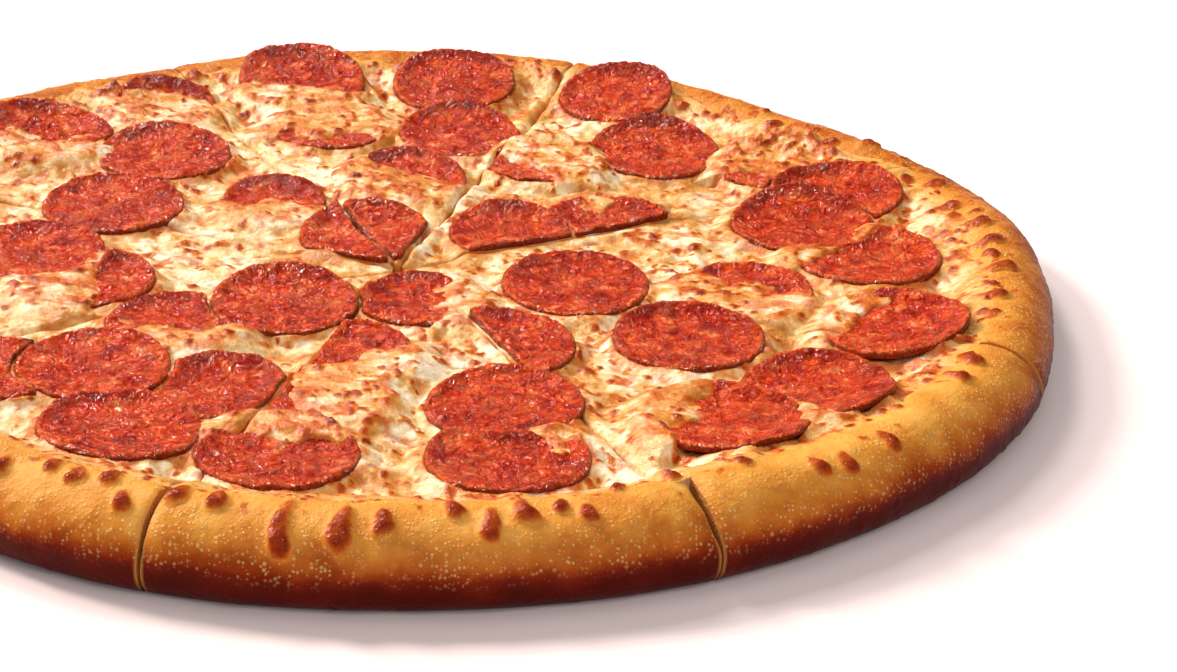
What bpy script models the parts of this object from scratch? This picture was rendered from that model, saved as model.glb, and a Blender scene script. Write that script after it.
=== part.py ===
"""Fourteen-inch pepperoni pizza, cut into eight slices that still lie together.

The pizza lies flat in the XY plane, the centre of its rim over the origin and its underside
at Z = 0. Bearings run anticlockwise from +X, seen from above, and +Y is the back.
"""

import math
import random

import bmesh
import bpy
import numpy as np
from mathutils import Matrix, Vector
from mathutils.bvhtree import BVHTree

MM = 0.001

# Driving dimensions of the crust, in millimetres
CRUST_RADIUS = 178.0
CREST_RADIUS = 164.5
CREST_HEIGHT = 19.4
RIM_FOOT_RADIUS = 141.0
DOUGH_THICKNESS = 8.0
WIDEST_HEIGHT = 8.0
BASE_RADIUS = 171.0
TURN_STEPS = 90
SLOPE_STEPS = 4
BROW_STEPS = 4
BELLY_STEPS = 3

# Uneven baking: the crest is lower and farther out at the back than at the front
CREST_SHIFT_BACK = 2.5
CREST_DROP_BACK = 1.4
CREST_WAVE_HEIGHT = 0.5
CREST_WAVES = (3, 7, 11, 15)

# Waves of the outline, each as count round the pizza, height in millimetres and phase
OUTLINE_WAVES = (
    (2, 1.44, -1.93),
    (3, 0.61, 3.05),
    (4, 1.41, 1.68),
    (5, 0.58, 0.98),
    (6, 1.48, -0.09),
    (8, 0.90, -0.93),
)

# Driving dimensions of the cheese
CHEESE_THICKNESS = 3.4
CHEESE_EDGE_RADIUS = 162.0
CHEESE_EDGE_THICKNESS = 1.1
CHEESE_EDGE_WAVE = 1.8
CHEESE_EDGE_WAVES = (8, 13, 21)
CHEESE_RING_STEP = 17.5
LAYER_GAP = 0.5

# Melted lumps of the cheese: heights and lengths of their waves
BROAD_LUMP_HEIGHT = 0.55
BROAD_LUMP_LENGTHS = (11.0, 13.0)
SMALL_LUMP_HEIGHT = 0.25
SMALL_LUMP_LENGTHS = (6.0, 9.0, 7.0, 15.0)
RING_LUMP_HEIGHT = 0.2
RING_LUMP_WAVES = (5, 9)
LUMP_LOSS_AT_EDGE = 0.8
LUMP_PHASES = (0.8, -0.4)

# Driving dimensions of a slice of pepperoni
PEPPERONI_THICKNESS = 1.8
PEPPERONI_STEPS = 18
PEPPERONI_RING = 0.62
PEPPERONI_CUP = 0.5
PEPPERONI_SAG = 0.4
PEPPERONI_UNROUNDNESS = 0.022
PEPPERONI_WAVES = (2, 3)
CURL_START = 0.35
NOMINAL_RADIUS = 20.0
EDGE_LEAN = 0.3
REST_GAP = 0.35
NEIGHBOUR_GAP = 0.5
TOUCH_MARGIN = 2.0

# The four knife cuts, as bearing and width; each runs right across the pizza, and they
# cross a little off the centre of the rim
CUT_CENTRE = (-1.1, -2.9)
CUTS = ((-23.0, 0.9), (26.0, 0.9), (71.5, 1.6), (114.5, 1.2))
SLICES = 8

# How far the rim has drawn back at the top of each end of a cut, from the first bearing on
RIM_NOTCHES = (1.6, 2.0, 3.6, 2.2, 2.0, 2.0, 3.0, 5.0)
NOTCH_TOP = 20.0
NOTCH_BOTTOM = 4.0
NOTCH_RADII = (150.0, 190.0)

# The pepperoni, those that lie on top of a neighbour first. Each entry is the distance from
# the crossing of the cuts, the bearing, the radius, the height of the curled far edge and the slices that
# a knife has left it in: none for one that lies whole, two for one cut in half.
PEPPERONI = (
    (119, 16, 21.0, 3.5, ()),
    (137.5, 23, 20.0, 0.5, ()),
    (130, 3, 20.5, 0.5, ()),
    (137, -19.5, 19.5, 1.4, ()),
    (50, -18, 20.5, 0.5, ()),
    (90, 326, 20.5, 0.5, ()),
    (95, -11.5, 19.0, 0.3, ()),
    (119.5, 50, 20.5, 4.0, ()),
    (152.5, 63.5, 18.0, 0.3, ()),
    (136.5, 34, 18.5, 4.0, ()),
    (39, 37, 18.0, 2.0, (2,)),
    (66, 28.5, 20.0, 0.7, (2,)),
    (106.5, 80, 19.0, 3.2, ()),
    (90.5, 62.5, 17.0, 2.0, (2,)),
    (149, 102, 20.0, 0.0, ()),
    (148.5, 83.5, 20.0, 0.0, ()),
    (112, 100.5, 18.0, 1.0, ()),
    (22, 114, 19.0, 3.2, (3, 4)),
    (66, 88, 18.0, 2.1, ()),
    (108.5, 130, 20.5, 2.8, ()),
    (140.5, 138, 20.0, 0.0, ()),
    (144, 120, 16.0, 0.2, ()),
    (90, 153, 20.5, 0.3, ()),
    (59, 127, 15.0, 1.5, ()),
    (99, 178, 20.5, 0.5, ()),
    (84, 190, 19.0, 0.5, ()),
    (143, 162, 20.0, 1.0, ()),
    (143, 188, 19.5, 1.0, ()),
    (42, 225, 20.0, 2.0, ()),
    (104, 224, 20.0, 1.0, ()),
    (125, 217, 19.0, 0.5, ()),
    (72, 218, 18.0, 0.5, ()),
    (127, 239, 20.0, 0.5, ()),
    (94, 243, 17.5, 1.0, (6,)),
    (124, 257, 20.0, 0.5, ()),
    (65, 258, 19.0, 0.5, (7,)),
    (27, 282, 17.0, 0.5, ()),
    (95, 286, 20.0, 0.5, ()),
    (125, 282, 20.0, 0.5, ()),
    (93, 258, 17.0, 0.5, (7,)),
    (62, 295, 20.0, 0.5, (8,)),
    (132, 307, 20.5, 2.0, ()),
    (135, 320, 20.0, 2.5, ()),
)

# Colours, as linear red, green and blue
CRUST_COLOUR = (0.58, 0.25, 0.065)
CHEESE_COLOUR = (0.88, 0.66, 0.34)
PEPPERONI_COLOUR = (0.47, 0.045, 0.02)
CRUST_ROUGHNESS = 0.55
CHEESE_ROUGHNESS = 0.35
PEPPERONI_ROUGHNESS = 0.3

CUTTER_REACH = 500.0
DISC_CUTTER_HEIGHT = 100.0

# Seeds of the random phases
CREST_SEED = 9
LUMP_SEED = 21
CHEESE_EDGE_SEED = 33
PEPPERONI_SEED = 100

# Points at which a disc is measured against what it rests on
SAMPLE_RINGS = 20
SAMPLE_STEPS = 72
SAMPLE_REACH = 1.035


def clear_scene():
    for item in list(bpy.data.objects):
        bpy.data.objects.remove(item, do_unlink=True)


def make_material(name, colour, roughness):
    material = bpy.data.materials.new(name)
    material.use_nodes = True
    shader = material.node_tree.nodes["Principled BSDF"]
    shader.inputs["Base Color"].default_value = (*colour, 1.0)
    shader.inputs["Roughness"].default_value = roughness
    shader.inputs["Metallic"].default_value = 0.0
    return material


def smooth_step(low, high, value):
    share = min(max((value - low) / (high - low), 0.0), 1.0)
    return share * share * (3.0 - 2.0 * share)


def wave_sum(seed, harmonics, angle):
    """Sum of sines round the pizza, between about -1 and 1, with seeded phases."""
    draw = random.Random(seed)
    total = 0.0
    for harmonic in harmonics:
        total += math.sin(harmonic * angle + draw.uniform(0.0, 2.0 * math.pi))
    return total / math.sqrt(len(harmonics))


def turned(name, profile, steps, collection):
    """Mesh of a profile of (radius, height) in millimetres, turned about the Z axis."""
    mesh = bpy.data.meshes.new(name)
    points = [(radius * MM, 0.0, height * MM) for radius, height in profile]
    mesh.from_pydata(points, [(i, i + 1) for i in range(len(points) - 1)], [])
    item = bpy.data.objects.new(name, mesh)
    collection.objects.link(item)
    screw = item.modifiers.new("turn", "SCREW")
    screw.steps = steps
    screw.render_steps = steps
    screw.use_merge_vertices = True
    screw.merge_threshold = 0.00001
    screw.use_smooth_shade = True
    graph = bpy.context.evaluated_depsgraph_get()
    result = bpy.data.meshes.new_from_object(item.evaluated_get(graph))
    bpy.data.objects.remove(item)
    return result


def split_faces(mesh):
    """Triangles only, so that no bent four-sided face is left for the cuts to guess at."""
    work = bmesh.new()
    work.from_mesh(mesh)
    bmesh.ops.triangulate(work, faces=work.faces)
    work.to_mesh(mesh)
    work.free()


def surface_of(mesh):
    """Search tree of a mesh, for finding heights on it."""
    work = bmesh.new()
    work.from_mesh(mesh)
    tree = BVHTree.FromBMesh(work)
    work.free()
    return tree


def height_at(tree, x, y):
    """Height of the top of a mesh above the point x, y, or None beside the mesh."""
    hit = tree.ray_cast(Vector((x, y, 1.0)), Vector((0.0, 0.0, -1.0)))[0]
    return None if hit is None else hit.z


def add_piece(name, mesh, material, collection):
    mesh.materials.clear()
    mesh.materials.append(material)
    mesh.shade_smooth()
    item = bpy.data.objects.new(name, mesh)
    collection.objects.link(item)
    return item


def add_cut(item, cutter):
    cut = item.modifiers.new("cut by " + cutter.name, "BOOLEAN")
    cut.operation = "DIFFERENCE"
    cut.solver = "EXACT"
    cut.object = cutter


# Crust

def slope_radius(step):
    """Radius of one ring of the slope, which the cheese shares with the crust."""
    return RIM_FOOT_RADIUS + step / SLOPE_STEPS * (CREST_RADIUS - RIM_FOOT_RADIUS)


def crust_profile():
    """Even rim section: flat floor, rounded slope, elliptic brow and belly, flat base."""
    points = [(0.0, DOUGH_THICKNESS)]
    for step in range(SLOPE_STEPS):
        rise = 0.5 - 0.5 * math.cos(math.pi * step / SLOPE_STEPS)
        height = DOUGH_THICKNESS + rise * (CREST_HEIGHT - DOUGH_THICKNESS)
        points.append((slope_radius(step), height))
    for step in range(BROW_STEPS + 1):
        angle = 0.5 * math.pi * step / BROW_STEPS
        radius = CREST_RADIUS + (CRUST_RADIUS - CREST_RADIUS) * math.sin(angle)
        height = WIDEST_HEIGHT + (CREST_HEIGHT - WIDEST_HEIGHT) * math.cos(angle)
        points.append((radius, height))
    for step in range(1, BELLY_STEPS + 1):
        angle = 0.5 * math.pi * step / BELLY_STEPS
        radius = BASE_RADIUS + (CRUST_RADIUS - BASE_RADIUS) * math.cos(angle)
        points.append((radius, WIDEST_HEIGHT * (1.0 - math.sin(angle))))
    points.append((0.0, 0.0))
    return points


def baked(radius, height, angle):
    """Where a point of the even rim section ends up at one bearing of the risen rim."""
    back = math.sin(angle)
    bulge = sum(size * math.sin(count * angle + phase) for count, size, phase in OUTLINE_WAVES)
    moved = radius + bulge * smooth_step(RIM_FOOT_RADIUS, CREST_RADIUS, radius)
    if height <= WIDEST_HEIGHT:
        return moved, height
    inner = (radius - RIM_FOOT_RADIUS) / (CREST_RADIUS - RIM_FOOT_RADIUS)
    outer = (CRUST_RADIUS - radius) / (CRUST_RADIUS - CREST_RADIUS)
    moved += CREST_SHIFT_BACK * back * max(min(inner, outer), 0.0)
    wave = CREST_WAVE_HEIGHT * wave_sum(CREST_SEED, CREST_WAVES, angle)
    crest = CREST_HEIGHT - CREST_DROP_BACK * back + wave
    share = (height - WIDEST_HEIGHT) / (CREST_HEIGHT - WIDEST_HEIGHT)
    return moved, WIDEST_HEIGHT + share * (crest - WIDEST_HEIGHT)


def bake(mesh):
    """Give the even rim of the turned crust its waves and its lower back."""
    for vertex in mesh.vertices:
        x, y, z = vertex.co
        radius = math.hypot(x, y)
        if radius < (RIM_FOOT_RADIUS - TOUCH_MARGIN) * MM:
            continue
        moved, height = baked(radius / MM, z / MM, math.atan2(y, x))
        stretch = moved * MM / radius
        vertex.co = (x * stretch, y * stretch, height * MM)


# Cheese

def cheese_profile():
    """Sheet from the centre to its edge near the crest, and back underneath."""
    top = []
    radius = 0.0
    while radius < RIM_FOOT_RADIUS - TOUCH_MARGIN:
        top.append(radius)
        radius += CHEESE_RING_STEP
    slope = [slope_radius(step) for step in range(SLOPE_STEPS)] + [CHEESE_EDGE_RADIUS]
    points = [(radius, 1.0) for radius in top + slope]
    points += [(radius, 0.0) for radius in reversed(slope)]
    points.append((0.0, 0.0))
    return points


def cheese_lumps(x, y, angle):
    """Melted lumps, in millimetres about the mean height, at a point in millimetres."""
    broad_x, broad_y = BROAD_LUMP_LENGTHS
    phase_x, phase_y = LUMP_PHASES
    broad = math.sin(x / broad_x + phase_x) * math.sin(y / broad_y + phase_y)
    first, second, third, fourth = SMALL_LUMP_LENGTHS
    small = math.sin(x / first - y / second) * math.cos(y / third + x / fourth)
    ring = wave_sum(LUMP_SEED, RING_LUMP_WAVES, angle)
    return BROAD_LUMP_HEIGHT * broad + SMALL_LUMP_HEIGHT * small + RING_LUMP_HEIGHT * ring


def drape_cheese(mesh, crust_surface):
    """Lay the sheet on the crust: its base follows the dough, its top is lumpy."""
    outermost = (CHEESE_EDGE_RADIUS - CHEESE_EDGE_THICKNESS) * MM
    for vertex in mesh.vertices:
        x, y, flag = vertex.co
        radius = math.hypot(x, y)
        angle = math.atan2(y, x)
        share = smooth_step(RIM_FOOT_RADIUS, CHEESE_EDGE_RADIUS, radius / MM)
        if radius > (RIM_FOOT_RADIUS - TOUCH_MARGIN) * MM:
            ring = radius / MM
            if radius > outermost:
                ring += CHEESE_EDGE_WAVE * wave_sum(CHEESE_EDGE_SEED, CHEESE_EDGE_WAVES, angle)
            moved, _ = baked(ring, CREST_HEIGHT, angle)
            x *= moved * MM / radius
            y *= moved * MM / radius
        floor = height_at(crust_surface, x, y) + LAYER_GAP * MM
        if flag < 0.5 * MM:
            vertex.co = (x, y, floor)
            continue
        thickness = CHEESE_THICKNESS + share * (CHEESE_EDGE_THICKNESS - CHEESE_THICKNESS)
        lumps = cheese_lumps(x / MM, y / MM, angle) * (1.0 - LUMP_LOSS_AT_EDGE * share)
        vertex.co = (x, y, floor + (thickness + lumps) * MM)


# Knife cuts

def from_crossing(distance, bearing):
    """Point at a distance and bearing from where the cuts cross, in metres."""
    x, y = CUT_CENTRE
    angle = math.radians(bearing)
    return Vector((x + distance * math.cos(angle), y + distance * math.sin(angle), 0.0)) * MM


def hide_cutter(item, collection):
    collection.objects.link(item)
    item.hide_render = True
    item.display_type = "WIRE"


def add_wall(name, bearing, width, side, collection):
    """Block that fills one side of a cut, its near face on the far edge of the knife's gap."""
    mesh = bpy.data.meshes.new(name)
    work = bmesh.new()
    bmesh.ops.create_cube(work, size=CUTTER_REACH * MM)
    shift = side * 0.5 * (CUTTER_REACH - width) * MM
    bmesh.ops.translate(work, verts=work.verts, vec=(0.0, shift, 0.0))
    work.to_mesh(mesh)
    work.free()
    wall = bpy.data.objects.new(name, mesh)
    wall.location = from_crossing(0.0, 0.0)
    wall.rotation_euler.z = math.radians(bearing)
    hide_cutter(wall, collection)
    return wall


def add_notch(name, bearing, width, collection):
    """Bar of diamond section along a cut, whose lower point opens the rim as a narrow V."""
    inner, outer = NOTCH_RADII
    half_height = NOTCH_TOP
    half_width = 0.5 * width * half_height / (NOTCH_TOP - NOTCH_BOTTOM)
    mesh = bpy.data.meshes.new(name)
    work = bmesh.new()
    bmesh.ops.create_cube(work, size=1.0)
    eighth_turn = Matrix.Rotation(math.radians(45.0), 3, "X")
    bmesh.ops.rotate(work, cent=(0.0, 0.0, 0.0), matrix=eighth_turn, verts=work.verts)
    diagonal = math.sqrt(2.0)
    size = ((outer - inner) * MM, diagonal * half_width * MM, diagonal * half_height * MM)
    bmesh.ops.scale(work, vec=size, verts=work.verts)
    place = (0.5 * (inner + outer) * MM, 0.0, (NOTCH_BOTTOM + half_height) * MM)
    bmesh.ops.translate(work, verts=work.verts, vec=place)
    work.to_mesh(mesh)
    work.free()
    notch = bpy.data.objects.new(name, mesh)
    notch.location = from_crossing(0.0, 0.0)
    notch.rotation_euler.z = math.radians(bearing)
    hide_cutter(notch, collection)
    return notch


def cut_before(number):
    """Bearing and width of the cut that a slice starts from, going anticlockwise."""
    turn, line = divmod(number - 1, len(CUTS))
    bearing, width = CUTS[line]
    return bearing + 180.0 * turn, width


def add_slice_cutters(cutters):
    """For each slice, the two walls beside it and the rim notches at its two ends."""
    notches = []
    for number in range(1, SLICES + 1):
        bearing, _ = cut_before(number)
        notches.append(add_notch(f"notch_{number}", bearing, RIM_NOTCHES[number - 1], cutters))
    walls = {}
    ends = {}
    for number in range(1, SLICES + 1):
        first, first_width = cut_before(number)
        last, last_width = cut_before(number + 1)
        walls[number] = (
            add_wall(f"wall_{number}_before", first, first_width, -1, cutters),
            add_wall(f"wall_{number}_after", last, last_width, 1, cutters),
        )
        ends[number] = (notches[number - 1], notches[number % SLICES])
    return walls, ends


# Pepperoni

def disc_profile():
    """Thin disc of the nominal radius, its cut edge leaning in a little at the top."""
    ring = PEPPERONI_RING * NOMINAL_RADIUS
    rim = NOMINAL_RADIUS - EDGE_LEAN
    top = [(0.0, PEPPERONI_THICKNESS), (ring, PEPPERONI_THICKNESS), (rim, PEPPERONI_THICKNESS)]
    return top + [(NOMINAL_RADIUS, 0.0), (ring, 0.0), (0.0, 0.0)]


def outline_stretch(number, angle):
    """Slight unroundness of one slice of pepperoni."""
    return 1.0 + PEPPERONI_UNROUNDNESS * wave_sum(PEPPERONI_SEED + number, PEPPERONI_WAVES, angle)


def top_height(surfaces, x, y):
    """Height of the highest of the surfaces at a point."""
    heights = [height_at(surface, x, y) for surface in surfaces]
    return max(height for height in heights if height is not None)


def disc_points(radius):
    """Points spread over a disc, for measuring it against what it rests on."""
    points = []
    for ring in range(1, SAMPLE_RINGS + 1):
        reach = SAMPLE_REACH * radius * MM * ring / SAMPLE_RINGS
        for step in range(SAMPLE_STEPS):
            angle = 2.0 * math.pi * step / SAMPLE_STEPS
            points.append((reach * math.cos(angle), reach * math.sin(angle)))
    return points


def seat_plane(centre, radius, surfaces):
    """Best plane through the surface under a disc, as slope in X, slope in Y and height."""
    points = disc_points(radius)
    rows = [(x, y, 1.0) for x, y in points]
    heights = [top_height(surfaces, centre.x + x, centre.y + y) for x, y in points]
    return np.linalg.lstsq(np.array(rows), np.array(heights), rcond=None)[0]


def shape_disc(mesh, number, centre, radius, curl, surfaces):
    """Size one disc, lay it on what is below it, and curl its far edge up."""
    scale = radius / NOMINAL_RADIUS
    slope_x, slope_y, level = seat_plane(centre, radius, surfaces)
    for vertex in mesh.vertices:
        x, y, z = vertex.co
        share = math.hypot(x, y) / (NOMINAL_RADIUS * MM)
        stretch = scale * outline_stretch(number, math.atan2(y, x))
        x *= stretch
        y *= stretch
        far = smooth_step(CURL_START, 1.0, y / (radius * MM))
        lift = PEPPERONI_CUP * share ** 2 + curl * far
        plane = slope_x * x + slope_y * y + level
        sag = PEPPERONI_SAG * (top_height(surfaces, centre.x + x, centre.y + y) - plane)
        vertex.co = (x, y, z + plane + sag + lift * MM)


def clearance(mesh, centre, radius, surfaces):
    """Smallest height of a disc's underside above what is below it, in metres."""
    disc = surface_of(mesh)
    least = math.inf
    for x, y in disc_points(radius):
        hit = disc.ray_cast(Vector((x, y, -1.0)), Vector((0.0, 0.0, 1.0)))[0]
        if hit is not None:
            least = min(least, hit.z - top_height(surfaces, centre.x + x, centre.y + y))
    return least


def add_disc_cutter(number, centre, radius, collection):
    """Upright prism a little wider than a disc, for cutting the ones that lie under it."""
    work = bmesh.new()
    bmesh.ops.create_cone(
        work, cap_ends=True, segments=PEPPERONI_STEPS,
        radius1=1.0, radius2=1.0, depth=DISC_CUTTER_HEIGHT * MM,
    )
    for vertex in work.verts:
        x, y, _ = vertex.co
        reach = radius * outline_stretch(number, math.atan2(y, x)) + NEIGHBOUR_GAP
        vertex.co.x = x * reach * MM
        vertex.co.y = y * reach * MM
    mesh = bpy.data.meshes.new(f"disc_cutter_{number:02d}")
    work.to_mesh(mesh)
    work.free()
    cutter = bpy.data.objects.new(mesh.name, mesh)
    cutter.location = centre
    hide_cutter(cutter, collection)
    return cutter


def add_pepperoni(surfaces, walls, material, pizza, cutters, collection):
    unit_disc = turned("disc", disc_profile(), PEPPERONI_STEPS, collection)
    laid = []
    node = 0
    for number, (distance, bearing, radius, curl, kept) in enumerate(PEPPERONI):
        centre = from_crossing(distance, bearing)
        mesh = unit_disc.copy()
        shape_disc(mesh, number, centre, radius, curl, surfaces)
        lift = REST_GAP * MM - clearance(mesh, centre, radius, surfaces)
        above = []
        for cutter, place, reach, side in laid:
            apart = kept and side and not set(kept) & set(side)
            if not apart and (place - centre).length < (reach + radius + TOUCH_MARGIN) * MM:
                above.append(cutter)
        for slice_number in kept or (None,):
            node += 1
            item = add_piece(f"pepperoni_{node:02d}", mesh, material, collection)
            item.location = (centre.x, centre.y, lift)
            item.parent = pizza
            for cutter in above:
                add_cut(item, cutter)
            for wall in walls.get(slice_number, ()):
                add_cut(item, wall)
        cutter = add_disc_cutter(number, centre, radius, cutters)
        laid.append((cutter, centre, radius, kept))
    bpy.data.meshes.remove(unit_disc)


def build():
    clear_scene()
    scene = bpy.context.scene
    collection = bpy.data.collections.new("pepperoni_pizza")
    cutters = bpy.data.collections.new("cutters")
    scene.collection.children.link(collection)
    scene.collection.children.link(cutters)
    crust_material = make_material("baked crust", CRUST_COLOUR, CRUST_ROUGHNESS)
    cheese_material = make_material("melted cheese", CHEESE_COLOUR, CHEESE_ROUGHNESS)
    pepperoni_material = make_material("oily pepperoni", PEPPERONI_COLOUR, PEPPERONI_ROUGHNESS)

    pizza = bpy.data.objects.new("pizza", None)
    collection.objects.link(pizza)
    walls, notches = add_slice_cutters(cutters)

    crust = turned("crust", crust_profile(), TURN_STEPS, collection)
    bake(crust)
    split_faces(crust)
    crust_surface = surface_of(crust)
    cheese = turned("cheese", cheese_profile(), TURN_STEPS, collection)
    drape_cheese(cheese, crust_surface)
    cheese_surface = surface_of(cheese)

    for number in range(1, SLICES + 1):
        base = add_piece(f"crust_{number}", crust, crust_material, collection)
        topping = add_piece(f"cheese_{number}", cheese, cheese_material, collection)
        for item, cuts in ((base, walls[number] + notches[number]), (topping, walls[number])):
            item.parent = pizza
            for cutter in cuts:
                add_cut(item, cutter)

    surfaces = (crust_surface, cheese_surface)
    add_pepperoni(surfaces, walls, pepperoni_material, pizza, cutters, collection)


build()
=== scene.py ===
# %% [markdown]
# # A pepperoni pizza, cut into eight slices
# The pizza lies flat, its centre over the origin. The solids of the frame say where each slice
# of crust, each sheet of cheese and each slice of pepperoni is. This lesson gives each of them
# the surface of the baked food: blistered crust, melted cheese with browned bubbles, oily
# sausage. Lengths are in millimetres until a mesh is made, because recipes and knives are.

# %% Load the frame
import math
import random

import bpy
import numpy as np
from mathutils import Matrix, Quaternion, Vector, geometry
from mathutils.bvhtree import BVHTree


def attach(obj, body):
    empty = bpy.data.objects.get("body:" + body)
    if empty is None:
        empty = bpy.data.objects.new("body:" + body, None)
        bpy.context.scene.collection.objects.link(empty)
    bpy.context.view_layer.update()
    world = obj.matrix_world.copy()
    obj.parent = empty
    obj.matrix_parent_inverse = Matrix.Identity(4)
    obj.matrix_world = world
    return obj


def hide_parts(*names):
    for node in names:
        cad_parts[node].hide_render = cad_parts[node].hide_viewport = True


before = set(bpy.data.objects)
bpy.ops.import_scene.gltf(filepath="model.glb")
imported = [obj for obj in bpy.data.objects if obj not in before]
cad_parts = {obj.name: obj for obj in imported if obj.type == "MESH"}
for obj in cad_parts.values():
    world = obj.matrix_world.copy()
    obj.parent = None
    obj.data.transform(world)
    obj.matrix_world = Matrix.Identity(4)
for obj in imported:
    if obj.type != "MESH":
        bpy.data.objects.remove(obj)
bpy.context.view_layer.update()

MM = 0.001
FINE = 1.0

# %% [markdown]
# ## Camera
# The photograph is taken from the front, a little above the table, with a long lens, so the
# far side is hardly smaller than the near one. The camera leans over by two degrees and the
# pizza runs out of the picture on the left. A long lens is set with its focal length, and the
# lean by turning the camera about its own line of sight.

# %% Camera
CUT_CENTRE = np.array([-1.1, -2.9])
CAMERA_PLACE = Vector((CUT_CENTRE[0], CUT_CENTRE[1] - 746.61, 313.15))
CAMERA_AIM = Vector((CUT_CENTRE[0] + 51.34, CUT_CENTRE[1] - 16.22, 0.0))
CAMERA_LEAN = math.radians(2.19)
CAMERA_LENS = 90.46

camera_data = bpy.data.cameras.new("camera")
camera_data.lens = CAMERA_LENS
camera_data.sensor_width = 36.0
camera = bpy.data.objects.new("camera", camera_data)
bpy.context.scene.collection.objects.link(camera)
camera.location = CAMERA_PLACE * MM
camera.rotation_mode = "QUATERNION"
straight = (CAMERA_AIM - CAMERA_PLACE).to_track_quat("-Z", "Y")
camera.rotation_quaternion = straight @ Quaternion((0.0, 0.0, 1.0), CAMERA_LEAN)
bpy.context.scene.camera = camera
print("camera", round(CAMERA_PLACE.length), "mm from the pizza's centre")

# %% [markdown]
# ## One function for nodes, one for colours
# Every material is a small network of shader nodes. One function adds a node of any kind, sets
# it and links it, and one turns a colour as seen on a screen into the linear light that the
# renderer counts in.


# %% Node and colour helpers
def linear(code):
    """sRGB hex code to linear red, green, blue and alpha."""
    parts = [int(code[i:i + 2], 16) / 255.0 for i in (1, 3, 5)]
    return (*[p / 12.92 if p <= 0.04045 else ((p + 0.055) / 1.055) ** 2.4 for p in parts], 1.0)


def add_node(tree, kind, inputs=None, stops=None, **settings):
    """A shader node with its settings, its inputs (values or other nodes' outputs) and stops."""
    made = tree.nodes.new("ShaderNode" + kind)
    for name, value in settings.items():
        setattr(made, name, value)
    for key, value in (inputs or {}).items():
        if isinstance(value, bpy.types.NodeSocket):
            tree.links.new(value, made.inputs[key])
        else:
            made.inputs[key].default_value = value
    for number, (place, colour) in enumerate(stops or ()):
        ramp = made.color_ramp.elements
        stop = ramp[number] if number < 2 else ramp.new(place)
        stop.position = place
        stop.color = colour
    return made


def centred(tree, noise, strength, base):
    """A noise round zero, scaled and added to a base value, as one output."""
    return add_node(tree, "Math", {0: add_node(tree, "Math", {0: noise, 1: 0.5}, operation="SUBTRACT")
                                   .outputs[0], 1: strength, 2: base}, operation="MULTIPLY_ADD").outputs[0]


def new_material(name):
    """An empty material: its node tree and its surface shader."""
    made = bpy.data.materials.new(name)
    made.use_nodes = True
    return made, made.node_tree, made.node_tree.nodes["Principled BSDF"]


print("cream as linear light:", [round(v, 3) for v in linear("#F6E0A8")])

# %% [markdown]
# ## Light and floor
# A soft light stands behind the pizza on the left, so the shadow falls to the right and to the
# front, and the oil on the sausage glints towards the camera. The room is white all round. The
# floor glows a little by itself, so that it stays near white where the shadow falls.

# %% Light and floor
scene = bpy.context.scene
scene.view_settings.view_transform = "Standard"
scene.view_settings.look = "None"

world = bpy.data.worlds.new("white room")
scene.world = world
world.use_nodes = True
world.node_tree.nodes["Background"].inputs["Color"].default_value = linear("#FFFFFF")
world.node_tree.nodes["Background"].inputs["Strength"].default_value = 0.16

KEY_FROM = Vector((-1.4, 1.05, 1.08))
key_data = bpy.data.lights.new("key", "SUN")
key_data.energy = 3.5
key_data.angle = math.radians(13.0)
key_data.color = linear("#FFFAF2")[:3]
key = bpy.data.objects.new("key", key_data)
scene.collection.objects.link(key)
key.rotation_mode = "QUATERNION"
key.rotation_quaternion = KEY_FROM.to_track_quat("Z", "Y")

SOFT_BOXES = (("front fill", (0.3, -1.1, 1.0), 0.8, 7.0), ("top box", (0.0, 0.0, 1.2), 1.0, 2.5),
              ("back box", (-0.45, 0.95, 1.15), 0.5, 17.0))
for name, place, size, watts in SOFT_BOXES:
    box_data = bpy.data.lights.new(name, "AREA")
    box_data.energy = watts
    box_data.size = size
    box = bpy.data.objects.new(name, box_data)
    scene.collection.objects.link(box)
    box.location = place
    box.rotation_mode = "QUATERNION"
    box.rotation_quaternion = box.location.to_track_quat("Z", "Y")

floor_mesh = bpy.data.meshes.new("floor")
FLOOR_HALF = 3.0
corners = [(-FLOOR_HALF, -FLOOR_HALF, 0), (FLOOR_HALF, -FLOOR_HALF, 0),
           (FLOOR_HALF, FLOOR_HALF, 0), (-FLOOR_HALF, FLOOR_HALF, 0)]
floor_mesh.from_pydata(corners, [], [(0, 1, 2, 3)])
floor = bpy.data.objects.new("floor", floor_mesh)
scene.collection.objects.link(floor)
white_card, tree, shader = new_material("white card")
shader.inputs["Base Color"].default_value = linear("#F4DEDA")
shader.inputs["Roughness"].default_value = 0.9
shader.inputs["Specular IOR Level"].default_value = 0.1
shader.inputs["Emission Color"].default_value = linear("#FFFFFF")
shader.inputs["Emission Strength"].default_value = 0.05
floor_mesh.materials.append(white_card)
print("floor", 2 * FLOOR_HALF, "m wide")

# %% [markdown]
# ## Uneven surfaces
# Baked food has no straight line in it. Three kinds of unevenness make up all its surfaces:
# slow waves round the rim, rough ground like hills of one size with smaller hills on them, and
# single bubbles. All are drawn from fixed seeds, so the pizza is the same each time.


# %% Helpers for uneven surfaces
def smooth(low, high, value):
    """0 below low, 1 above high, and an even slope between them."""
    share = np.clip((value - low) / (high - low), 0.0, 1.0)
    return share * share * (3.0 - 2.0 * share)


def mix(first, second, share):
    return first + (second - first) * share


def wave_sum(seed, harmonics, angle):
    """Sum of sines round the pizza, between about -1 and 1, with seeded phases."""
    draw = random.Random(seed)
    total = 0.0
    for harmonic in harmonics:
        total = total + np.sin(harmonic * angle + draw.uniform(0.0, 2.0 * math.pi))
    return total / math.sqrt(len(harmonics))


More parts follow.
